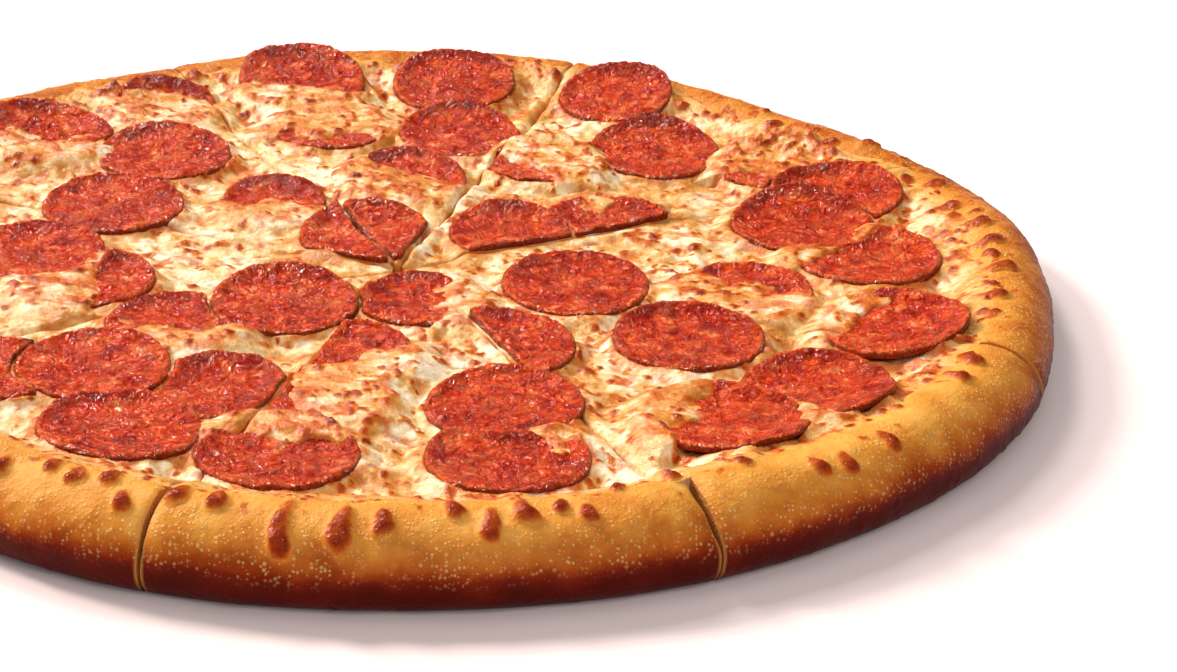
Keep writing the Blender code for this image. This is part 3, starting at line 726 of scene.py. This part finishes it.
def crust_slice(number, step):
    before, after = Cut(number), Cut(number + 1)
    section = crust_section(step)
    columns = max(12, int((after.bearing - before.bearing) * CRUST_RADIUS / step))
    u = np.linspace(0.0, 1.0, columns)[None, :]
    even_r, even_z = section[:, 0][:, None], section[:, 1][:, None]
    # Rows of the rim run round the pizza's centre, rows of the floor round the cuts' crossing
    slide = smooth(20.0, FOOT_RADIUS, even_r)
    angle = mix(before.bearing, after.bearing, u)
    for _ in range(3):
        bulge, back = rim_move(even_r, angle)
        high = even_z > WIDEST_HEIGHT
        r = even_r + bulge + np.where(high, back, 0.0)
        share = (even_z - WIDEST_HEIGHT) / (CREST_HEIGHT - WIDEST_HEIGHT)
        z = np.where(high, WIDEST_HEIGHT + share * (crest_height(angle) - WIDEST_HEIGHT), even_z + 0.0 * u)
        left = (slide * before.offset + before.gap(r, z)) / r
        right = (slide * after.offset - after.gap(r, z)) / r
        angle = mix(before.bearing + np.arcsin(np.clip(left, -0.9, 0.9)),
                    after.bearing + np.arcsin(np.clip(right, -0.9, 0.9)), u)
    middle_x, middle_y = (1.0 - slide) * CUT_CENTRE[0], (1.0 - slide) * CUT_CENTRE[1]
    x, y = middle_x + r * np.cos(angle), middle_y + r * np.sin(angle)
    wall = np.minimum(before.beside(x, y) - before.gap(r, z), -after.beside(x, y) - after.gap(r, z))
    # Unevenness of the rim's skin, none on the flat base
    open_air = smooth(FOOT_RADIUS, FOOT_RADIUS + 8.0, even_r) * smooth(0.0, 3.0, z)
    along = angle * CRUST_RADIUS
    across = np.concatenate([[0.0], np.cumsum(np.hypot(*np.diff(section, axis=0).T))])[:, None] + 0.0 * u
    skin = 0.5 * hills(along, across, 21.0, 41) + 0.2 * hills(along, across, 7.0, 42)
    skin = skin + 0.07 * hills(along, across, 2.3, 43)
    near, size = bubbles(along, across, 4.2, 44)
    radius = 0.6 + 1.0 * size ** 2
    skin = skin + 0.22 * radius * np.clip(1.0 - (near / radius) ** 2, 0.0, 1.0) * (size > 0.45)
    on_top = (even_z > 13.0) & (even_r > 150.0)
    rise, toast = beads_at(x, y)
    # Crisp brown patches along the inner side of the rim, more of them on the far side of the pizza
    far_side = smooth(-0.5, 0.6, np.sin(angle)) * smooth(FOOT_RADIUS, 170.0, even_r)
    crisp = hills(along, across, 6.5, 47) + 0.6 * hills(along, across, 2.6, 48) + 0.35 * far_side
    crisp = smooth(0.25, 0.75, crisp) * smooth(150.0, 155.0, even_r) * (1.0 - smooth(166.0, 174.0, even_r))
    toast = np.where(on_top, np.maximum(toast, 0.6 * crisp), 0.0)
    # The section's own outward direction
    tangent = np.gradient(section, axis=0)
    outward = np.stack([-tangent[:, 1], tangent[:, 0]], 1)
    outward = outward / (np.linalg.norm(outward, axis=1, keepdims=True) + 1e-9)
    press = 0.6 * (1.0 - smooth(0.0, 1.8, wall)) ** 2 * smooth(9.0, 13.0, z)
    if after.notch > 4.0:
        beside = -after.beside(x, y)
        sunk = 2.2 * (1.0 - smooth(0.0, 11.0, beside)) ** 2 * smooth(8.0, 16.0, z)
        press = press + sunk * smooth(160.0, 168.0, even_r)
    if before.notch > 4.0:
        beside = before.beside(x, y)
        sunk = 1.5 * (1.0 - smooth(0.0, 6.0, beside)) ** 2 * smooth(8.0, 16.0, z)
        press = press + sunk * smooth(160.0, 168.0, even_r)
    push = skin * open_air - press + np.where(on_top, rise, 0.0)
    x = x + outward[:, 0][:, None] * push * np.cos(angle)
    y = y + outward[:, 0][:, None] * push * np.sin(angle)
    z = np.maximum(z + outward[:, 1][:, None] * push, 0.0)
    points = np.stack([x, y, z + 0.0 * x], -1).reshape(-1, 3)
    rows = len(section)
    index = np.arange(rows * columns).reshape(rows, columns)
    quads = np.stack([index[:-1, :-1], index[1:, :-1], index[1:, 1:], index[:-1, 1:]], -1)
    seam = np.stack([index[-1, :-1], index[0, :-1], index[0, 1:], index[-1, 1:]], -1)
    faces = quads.reshape(-1, 4).tolist() + seam.tolist()
    faces += [index[:, 0].tolist(), index[::-1, -1].tolist()]
    # How baked: gold at the crest, red-brown where the dough fried on the pan
    bake = np.interp(z, (0.0, 4.0, 7.5, 9.5, 11.2, 13.0, 15.5, 18.0, 22.0),
                     (1.0, 0.97, 0.9, 0.73, 0.52, 0.39, 0.28, 0.2, 0.16))
    bake = np.where(even_r < CREST_RADIUS, 0.14 + 0.06 * smooth(155.0, CREST_RADIUS, even_r), bake)
    bake = bake + 0.1 * hills(along, across, 26.0, 45) + 0.05 * hills(along, across, 9.0, 46)
    bake = bake + 0.2 * far_side + 0.1 * smooth(0.3, 0.9, np.cos(angle)) * smooth(CREST_RADIUS, 172.0, even_r)
    crumb = ((wall < 0.05) & (z > 1.5)) * (0.75 - 0.5 * smooth(6.0, 1.0, z))
    marks = {"bake": (bake + 0.0 * x).ravel(), "crumb": (crumb + 0.0 * x).ravel(), "toast": toast.ravel()}
    name = f"baked_crust_{number}"
    piece = build_piece(name, points, faces, baked_dough, marks, smooth_below=48.0)
    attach(piece, "root")
    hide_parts(f"crust_{number}")
    return piece


for number in range(1, SLICES + 1):
    piece = crust_slice(number, 0.9 / FINE)

# %% [markdown]
# ## Where the cheese covers the sausage
# Some slices of pepperoni lie free on the cheese and others have sunk in, so that the cheese
# has flowed over one side of them. For each that is covered, the table names the side that the
# cheese comes from, as a bearing, and how far it reaches, from -1 at the far edge, which covers
# it all, to 1, which covers none of it.

# %% Covered sides
COVERS = {
    "pepperoni_03": ((140, 0.45),), "pepperoni_04": ((150, 0.55),), "pepperoni_07": ((235, -0.35),),
    "pepperoni_10": ((85, -0.45),), "pepperoni_12": ((95, 0.35),), "pepperoni_14": ((45, -0.4),),
    "pepperoni_15": ((270, 0.15),), "pepperoni_17": ((90, -0.5),), "pepperoni_20": ((240, -0.3),),
    "pepperoni_22": ((270, 0.05),), "pepperoni_23": ((270, -0.5),), "pepperoni_25": ((270, 0.1),),
    "pepperoni_27": ((180, -0.2),), "pepperoni_28": ((200, 0.3),), "pepperoni_33": ((270, 0.1),),
    "pepperoni_36": ((90, 0.35),), "pepperoni_37": ((300, 0.0),), "pepperoni_38": ((0, 0.25),),
    "pepperoni_40": ((60, 0.6),), "pepperoni_41": ((20, -0.5),), "pepperoni_43": ((155, 0.4),),
    "pepperoni_44": ((225, 0.45),),
}


def cover_depth(disc, x, y):
    """How far inside the cheese that covers a disc a point lies, in millimetres."""
    depth = np.full(x.shape, -9.0)
    for bearing, reach in COVERS.get(disc.name, ()):
        toward = math.radians(bearing)
        along = (x - disc.centre[0]) * math.cos(toward) + (y - disc.centre[1]) * math.sin(toward)
        edge = along - reach * disc.reach
        edge = edge + 5.0 * hills(x, y, 10.0, 61) + 2.6 * hills(x, y, 4.5, 62)
        depth = np.maximum(depth, edge)
    return depth


print(len(COVERS), "of", len(discs), "discs are partly covered")

# %% [markdown]
# ## Melted cheese
# The cheese is one sheet for each slice. Its height is the dough's, plus the sheet's thickness,
# plus lumps. Round each slice of pepperoni it rises and laps at the edge, under it it sinks
# away, and where it covers it, it lies on top. Along the knife cuts it stands up in smooth
# rounded lips. Browned bubbles gather where the sheet is high and dry.

# %% Form of the cheese
CHEESE_THICKNESS = 3.4
CHEESE_EDGE_THICKNESS = 1.1
CHEESE_EDGE_RADIUS = 162.0
LAYER_GAP = 0.5


def cheese_lumps(x, y, angle):
    broad = np.sin(x / 11.0 + 0.8) * np.sin(y / 13.0 - 0.4)
    small = np.sin(x / 6.0 - y / 9.0) * np.cos(y / 7.0 + x / 15.0)
    return 0.55 * broad + 0.25 * small + 0.2 * wave_sum(21, (5, 9), angle)


def cheese_top(x, y, wall):
    """Height of the cheese, and its marks, at points; wall is their distance to a knife cut."""
    r, angle = np.hypot(x, y), np.arctan2(y, x)
    even = even_radius(r, angle)
    share = smooth(FOOT_RADIUS, CHEESE_EDGE_RADIUS, even)
    z = crust_top(x, y) + LAYER_GAP + mix(CHEESE_THICKNESS, CHEESE_EDGE_THICKNESS, share)
    z = z + cheese_lumps(x, y, angle) * (1.0 - 0.8 * share)
    # Rounded lumps with creases between them, calmer on the rim and at the knife cuts
    calm = mix(0.45, 1.0, smooth(0.0, 7.0, wall)) * (1.0 - 0.45 * share)
    billow = np.abs(hills(x, y, 11.0, 51)) + 0.55 * np.abs(hills(x, y, 5.6, 52))
    z = z + (1.5 * (billow - 0.4) + 0.45 * hills(x, y, 15.0, 53)) * calm
    z = z + (0.2 * hills(x, y, 3.4, 54) + 0.1 * hills(x, y, 1.9, 57)) * calm
    lip = np.exp(-((wall - 2.6) / 2.2) ** 2) * (0.7 + 0.9 * hills(x, y, 17.0, 55))
    z = z + lip * smooth(8.0, 20.0, r)
    crowd = 0.55 * hills(x, y, 30.0, 56) + 0.4 * hills(x, y, 12.0, 63) + 0.3 * smooth(146.0, 158.0, even)
    # Oil at random, and orange painted shade in the creases between the lumps
    oily = 0.12 + 0.3 * hills(x, y, 18.0, 64) + 0.5 * smooth(0.3, 0.02, billow) * smooth(1.5, 5.0, wall)
    base = z.copy()
    for disc in discs:
        near = np.nonzero((x > disc.low[0] - 12) & (x < disc.high[0] + 12)
                          & (y > disc.low[1] - 12) & (y < disc.high[1] + 12))[0]
        if not len(near):
            continue
        px, py, here = x[near], y[near], base[near]
        away, near_x, near_y = to_outline(px, py, disc.loops)
        inside = away < 0
        top = disc.top(np.where(inside, px, near_x), np.where(inside, py, near_y))
        depth = cover_depth(disc, px, py)
        covered = smooth(-0.5, 0.5, depth)
        flow = 0.1 + 0.9 * smooth(-0.5, 7.0, depth) + 0.35 * hills(px, py, 6.0, 58)
        flow = flow + 0.5 * (billow[near] - 0.4)
        # Where nothing covers it, the cheese laps at the disc here and lies lower there
        laps = smooth(-0.25, 0.35, hills(px, py, 12.0, 59 + int(disc.name[-2:])))
        beside = np.clip(here, top - mix(1.0, 0.2, laps), top - mix(0.4, -0.3, laps))
        beside = np.minimum(beside, here + 2.6)
        edge_level = mix(beside, top + flow, covered)
        spread = mix(mix(3.0, 6.0, laps), 11.0, covered)
        outside = mix(edge_level, here, smooth(0.0, 1.0, np.clip(away, 0.0, None) / spread))
        within = mix(top - 3.0, top + flow, covered)
        level = np.where(inside, mix(edge_level, within, smooth(0.0, 1.4, -away)), outside)
        reached = away < spread
        z[near] = np.where(reached, np.where(inside, level, np.where(z[near] > here + 0.3, np.maximum(z[near], level), level)), z[near])
        halo = np.exp(-np.clip(away, 0.0, None) / 2.0)
        crowd[near] = crowd[near] + np.where(inside, 0.3 * covered, 0.28 * halo)
        thin = 0.9 - 0.5 * smooth(1.0, 8.0, depth)
        stain = np.where(inside, thin * covered, 0.9 * halo) * (0.75 + 0.9 * hills(px, py, 6.0, 60))
        oily[near] = np.maximum(oily[near], stain)
    # Tan patches, and on them the rounder spots of single burst bubbles
    blotch = (hills(x, y, 5.2, 71) + 0.6 * hills(x, y, 2.4, 72) + crowd) * smooth(1.0, 4.0, wall)
    browned = 0.45 * smooth(0.25, 0.9, blotch) * (1.0 - 0.6 * smooth(154.0, 160.0, even))
    z = z + 0.25 * smooth(0.3, 1.0, blotch)
    for spacing, size, seed, start in ((5.2, 1.9, 73, -0.15), (3.3, 1.2, 74, -0.1)):
        away, own = bubbles(x + 0.6 * hills(x, y, 2.8, 75), y + 0.6 * hills(x, y, 2.8, 76), spacing, seed)
        radius = size * (0.5 + 0.5 * ((own * 7.3) % 1.0))
        on = smooth(0.0, 0.25, blotch - start - 0.9 * own)
        z = z + 0.32 * radius * np.sqrt(np.clip(1.0 - (away / radius) ** 2, 0.0, 1.0)) * on
        tint = np.clip(1.6 - 1.15 * away / radius, 0.0, 1.0) * (0.55 + 0.5 * ((own * 3.7) % 1.0))
        browned = np.maximum(browned, tint * on)
    rise, toast = beads_at(x, y)
    z = z + rise
    browned = np.maximum(browned, toast)
    golden = smooth(145.0, CHEESE_EDGE_RADIUS + 1.0, even)
    parted = 0.3 + 0.7 * smooth(-0.5, 0.3, hills(x, y, 14.0, 66))
    z = z - 1.3 * parted * (1.0 - np.sqrt(1.0 - (1.0 - np.clip(wall / 1.5, 0.0, 1.0)) ** 2 * 0.98))
    return z, browned, oily, golden


print("cheese at the centre of slice 1:",
      round(float(cheese_top(np.array([60.0]), np.array([2.0]), np.array([20.0]))[0][0]), 1), "mm high")


# %% [markdown]
# ## Cheese slices
# The sheet of a slice is a fan of small triangles, each row one longer than the row before, so
# the triangles are alike from the tip to the rim. Its outer edge runs out in uneven fingers on
# the crust. Walls go down from its edges, and a flat face closes it underneath.


# %% Cheese slices
def cheese_slice(number, step):
    before, after = Cut(number), Cut(number + 1)
    first, last = before.bearing, after.bearing
    rows = int(CHEESE_EDGE_RADIUS / step)
    tip = 0.5 * (before.width + after.width) / (2.0 * math.sin((last - first) / 2)) + 0.4
    i = np.concatenate([np.full(n + 1, n) for n in range(rows + 1)])
    j = np.concatenate([np.arange(n + 1) for n in range(rows + 1)])
    u = np.where(i > 0, j / np.maximum(i, 1), 0.5)
    down = i / rows
    angle = mix(first, last, u)
    reach = tip + down * (CHEESE_EDGE_RADIUS - tip)
    for _ in range(4):
        # The rim's centre is not where the cuts cross, so the edge is found along each ray
        ray_x, ray_y = np.cos(angle), np.sin(angle)
        x, y = CUT_CENTRE[0] + reach * ray_x, CUT_CENTRE[1] + reach * ray_y
        bearing = np.arctan2(y, x)
        fingers = 1.8 * wave_sum(33, (8, 13, 21), bearing) + 1.1 * wave_sum(34, (37, 55, 83), bearing)
        even = CHEESE_EDGE_RADIUS + fingers
        edge = even + sum(rim_move(even, bearing))
        sideways = CUT_CENTRE[0] * ray_y - CUT_CENTRE[1] * ray_x
        full = -(CUT_CENTRE[0] * ray_x + CUT_CENTRE[1] * ray_y) + np.sqrt(edge ** 2 - sideways ** 2)
        reach = tip + down * (full - tip)
        pull = [0.5 * cut.width * (1.0 - 0.9 * np.clip(0.6 + hills(reach, 0 * reach + k, 9.0, 80), 0, 1))
                for k, cut in ((7.0 * number, before), (7.0 * number + 7.0, after))]
        left = np.arcsin(np.clip(pull[0] / reach, -0.9, 0.9))
        right = np.arcsin(np.clip(pull[1] / reach, -0.9, 0.9))
        angle = mix(first + left, last - right, u)
    wall = np.minimum(reach * np.sin(angle - first - left), reach * np.sin(last - right - angle))
    z, browned, oily, golden = cheese_top(x, y, np.clip(wall, 0, None))
    # The outer edge thins out on to the crust
    outer = (1.0 - down) * full
    ground = crust_top(x, y)
    thin = smooth(-1.0, 9.0, outer)
    z = np.where(outer < 9.0, ground - 0.5 + (z - ground + 0.5) * thin, z)
    z = np.maximum(z, np.where(outer < 3.5, ground - 0.6, DOUGH_THICKNESS + 0.5))
    # Sauce shows at random and where the oil mark is high, so it also adds to the painted shade in the creases
    sauce_and_shade = 0.6 * smooth(0.5, 0.95, hills(x, y, 6.0, 84) + 0.5 * hills(x, y, 2.6, 85) + 1.2 * oily)
    points = np.stack([x, y, z], 1)
    row_start = np.cumsum(np.arange(rows + 2))
    upper = np.arange(row_start[rows])
    lower = upper + i[: row_start[rows]] + 1
    faces = np.stack([upper, lower, lower + 1], 1)
    has_right = j[: row_start[rows]] < i[: row_start[rows]]
    faces = np.vstack([faces, np.stack([upper, lower + 1, upper + 1], 1)[has_right]])
    # Walls down to the dough, and a face underneath
    left_edge = row_start[:rows + 1]
    outer_edge = np.arange(row_start[rows] + 1, row_start[rows] + rows)
    right_edge = (row_start[:rows + 1] + np.arange(rows + 1))[::-1]
    rim = np.concatenate([left_edge, outer_edge, right_edge[:-1]])
    middle = len(points) + np.arange(len(rim))
    bottom = middle + len(rim)
    below = np.minimum(crust_top(*points[rim, :2].T), points[rim, 2])
    sunk = points[rim].copy()
    sunk[:, 2] = np.minimum(below + 1.3, sunk[:, 2] - 0.2)
    flat = points[rim].copy()
    flat[:, 2] = DOUGH_THICKNESS + 0.15
    points = np.vstack([points, sunk, flat])
    onward = np.roll(np.arange(len(rim)), -1)
    faces = faces.tolist()
    for a, b in ((rim, middle), (middle, bottom)):
        faces += np.stack([a, b, b[onward], a[onward]], 1).tolist()
    faces.append(bottom[::-1].tolist())
    more = 2 * len(rim)
    marks = {
        "browned": np.concatenate([browned, np.zeros(more)]),
        "oily": np.concatenate([oily, np.zeros(more)]),
        "golden": np.concatenate([golden, np.zeros(more)]),
        "sauce_and_shade": np.concatenate([sauce_and_shade, np.full(more, 0.45)]),
    }
    name = f"melted_cheese_{number}"
    piece = build_piece(name, points, faces, melted_cheese, marks, smooth_below=75.0)
    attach(piece, "root")
    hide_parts(f"cheese_{number}")
    return piece


for number in range(1, SLICES + 1):
    piece = cheese_slice(number, 0.74 / FINE)

# %% [markdown]
# ## Slices of pepperoni
# Each slice is a thin plate with a rounded edge. Its top is the smooth surface measured from
# its solid, with wrinkles where the sausage shrank. The points inside the outline form an even
# triangle grid, joined to the outline by a Delaunay triangulation, which takes any outline, also
# one cut by a knife.

# %% Slices of pepperoni
PEPPERONI_THICKNESS = 1.8


def filled(outline, loops, step):
    """The outline's points and an even grid of points inside it, joined by triangles."""
    low, high = outline.min(0), outline.max(0)
    gx, gy = np.meshgrid(np.arange(low[0], high[0], step), np.arange(low[1], high[1], step * 0.866))
    gx = (gx + 0.5 * step * (np.arange(gx.shape[0]) % 2)[:, None]).ravel()
    gy = gy.ravel()
    away, _, _ = to_outline(gx, gy, loops)
    flat = np.vstack([outline, np.stack([gx, gy], 1)[away < -0.6 * step]])
    edges, count = [], 0
    for loop in loops:
        edges += [(count + k, count + (k + 1) % len(loop)) for k in range(len(loop))]
        count += len(loop)
    cut = geometry.delaunay_2d_cdt([Vector(p) for p in flat.tolist()], edges, [], 1, 1e-6)
    flat = np.array([tuple(v) for v in cut[0]])
    triangles = np.array(cut[2])
    a, b, c = (flat[triangles[:, k]] for k in range(3))
    over = np.cross(b - a, c - a) < 0
    triangles[over] = triangles[over][:, ::-1]
    return flat, triangles


def plate(disc, step):
    loops = [rounded(loop, step) for loop in disc.loops if len(loop) > 4]
    outline = np.vstack(loops)
    flat, triangles = filled(outline, loops, step)
    x, y = flat.T
    away, _, _ = to_outline(x, y, loops)
    depth = np.clip(-away, 0.0, None)
    seed = int(disc.name[-2:])
    own = random.Random(seed)
    crease = np.abs(hills(x, y, 6.5, 600 + seed))
    z = disc.top(x, y) + 0.5 * hills(x, y, 14.0, 500 + seed) + 0.75 * (crease - 0.25)
    z = z + 0.3 * hills(x, y, 3.8, 400 + seed) + 0.16 * hills(x, y, 2.0, 450 + seed)
    back = smooth(-0.3, 0.7, (y - disc.centre[1]) / disc.reach)
    cup = (1.0 - smooth(0.0, 6.0, depth)) ** 1.3 * (0.35 + 1.5 * back * own.uniform(0.7, 1.2))
    hidden = smooth(1.0, 5.0, cover_depth(disc, x, y))
    z = z + cup * (1.0 - hidden) - 0.8 * hidden - 0.7 * (1.0 - np.sqrt(1.0 - (1.0 - np.clip(depth / 0.9, 0.0, 1.0)) ** 2))
    top = np.stack([x, y, z], 1)
    # The underside has the same outline and a coarser grid
    flat_under, under_triangles = filled(outline, loops, 4.0 * step)
    under_away = np.clip(-to_outline(*flat_under.T, loops)[0], 0.0, None)
    under_back = smooth(-0.3, 0.7, (flat_under[:, 1] - disc.centre[1]) / disc.reach)
    under_z = disc.top(*flat_under.T) - PEPPERONI_THICKNESS + 0.1
    under_hidden = smooth(1.0, 5.0, cover_depth(disc, *flat_under.T))
    under_z = under_z + (1.0 - smooth(0.0, 6.0, under_away)) ** 1.3 * (0.2 + 1.2 * under_back) * (1.0 - under_hidden)
    under_z = under_z - 0.8 * under_hidden
    under = np.column_stack([flat_under, under_z])
    count = len(top)
    faces = triangles.tolist() + (under_triangles[:, ::-1] + count).tolist()
    start = 0
    for loop in loops:
        ring = np.arange(start, start + len(loop))
        onward = np.roll(ring, -1)
        turn = 1 if (flat[triangles[0][1]] is not None) else 1
        faces += np.stack([ring, ring + count, onward + count, onward], 1)[:, ::turn].tolist()
        start += len(loop)
    points = np.vstack([top, under])
    rise = disc.top(x, y) - disc.level
    # The dark mark: patches at random, and painted shade in the creases, where the far side is raised, and on the
    # cup's back wall that faces the camera
    far = smooth(0.1, 0.9, (y - disc.centre[1]) / disc.reach)
    dark = 0.6 * hills(x, y, 15.0, 550 + seed) + 0.25 * hills(x, y, 6.0, 650 + seed)
    dark = dark + 0.3 * smooth(0.25, 0.0, crease) - 0.15
    dark = dark + 0.4 * smooth(1.0, 3.5, rise) * far + own.uniform(-0.22, 0.18)
    dark = dark + 0.4 * back * (1.0 - smooth(1.5, 6.0, depth)) * smooth(0.3, 1.5, depth)
    # The edge mark: the orange of the thin edge and, at the very outline, painted shade; the side and underside get
    # 1, so they are all painted shade
    edge = 1.0 - smooth(0.2, 2.2, depth)
    more = len(under)
    marks = {"edge": np.concatenate([edge, np.ones(more)]),
             "dark": np.concatenate([dark, np.full(more, 0.5)])}
    piece = build_piece(disc.name.replace("pepperoni", "pepperoni_slice"), points, faces,
                        cured_sausage, marks, smooth_below=80.0)
    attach(piece, "root")
    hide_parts(disc.name)
    return piece


for disc in discs:
    piece = plate(disc, 0.75 / FINE)
